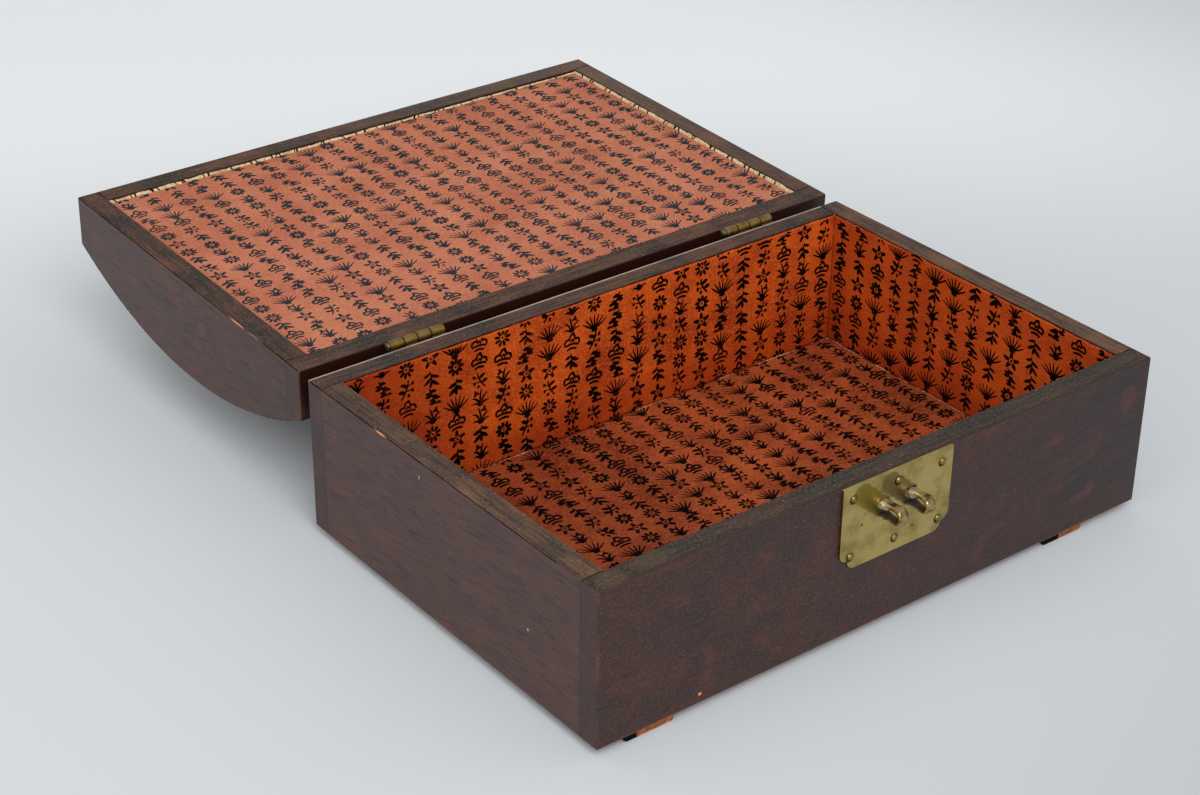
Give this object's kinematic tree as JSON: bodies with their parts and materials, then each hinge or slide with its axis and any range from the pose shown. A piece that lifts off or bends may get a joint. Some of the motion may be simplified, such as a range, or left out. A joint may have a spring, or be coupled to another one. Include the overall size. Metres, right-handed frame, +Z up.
{
  "type": "ink stick and stone box",
  "caption": "Low lidded wooden box for ink sticks and an ink stone, with a domed hinged lid that stands open, printed paper lining, brass lock plate with lugs, and a hinged hasp.",
  "frame": {"origin": "on the table, under the centre of the bounding box of the box with its lid standing open", "axes": "+X along the box's length to the viewer's right, +Y from the lock plate to the hinges, +Z up"},
  "size_m": [0.3, 0.4252, 0.0839],
  "materials": {
    "lacquered_wood": "dark red-brown lacquer, worn thin at the edges",
    "bare_wood": "raw, aged",
    "bamboo": "split and rounded",
    "lining_paper": "block-printed orange-red paper",
    "lid_paper": "block-printed salmon paper",
    "brass": "aged, scratched",
    "steel": "dull"
  },
  "bodies": {
    "base": {"base_back_board": "lacquered_wood", "base_back_lining": "lining_paper", "base_corner_pegs": "bamboo", "base_front_board": "lacquered_wood", "base_front_lining": "lining_paper", "base_left_board": "lacquered_wood", "base_left_lining": "lining_paper", "base_right_board": "lacquered_wood", "base_right_lining": "lining_paper", "bottom_board": "bare_wood", "bottom_pegs": "bamboo", "floor_lining": "lining_paper", "foot_back_left": "bare_wood", "foot_back_right": "bare_wood", "foot_front_left": "bare_wood", "foot_front_right": "bare_wood", "hinge_base_nails": "brass", "left_hinge_base_leaf": "brass", "left_hinge_pin": "steel", "left_lug": "brass", "lock_plate": "brass", "lock_plate_tacks": "brass", "right_hinge_base_leaf": "brass", "right_hinge_pin": "steel", "right_lug": "brass"},
    "lid": {"hasp_hinge_pin": "steel", "hinge_lid_nails": "brass", "left_hinge_lid_leaf": "brass", "lid_back_batten": "bare_wood", "lid_back_board": "lacquered_wood", "lid_corner_pegs": "bamboo", "lid_front_batten": "bare_wood", "lid_front_board": "lacquered_wood", "lid_left_end": "lacquered_wood", "lid_lining_board": "bare_wood", "lid_lining_paper": "lid_paper", "lid_plate": "brass", "lid_plate_tacks": "brass", "lid_right_end": "lacquered_wood", "lid_top_panel": "lacquered_wood", "right_hinge_lid_leaf": "brass"},
    "hasp": {"hasp": "brass"}
  },
  "joints": [
    {"name": "lid_hinge", "type": "hinge", "parent": "base", "child": "lid", "pos_m": [0, 0.00438, 0.0765], "axis": [1, 0, 0], "range_deg": [0, 178]},
    {"name": "hasp_hinge", "type": "hinge", "parent": "lid", "child": "hasp", "pos_m": [0, 0.21084, 0.07701], "axis": [1, 0, 0], "range_deg": [0, 180]}
  ]
}
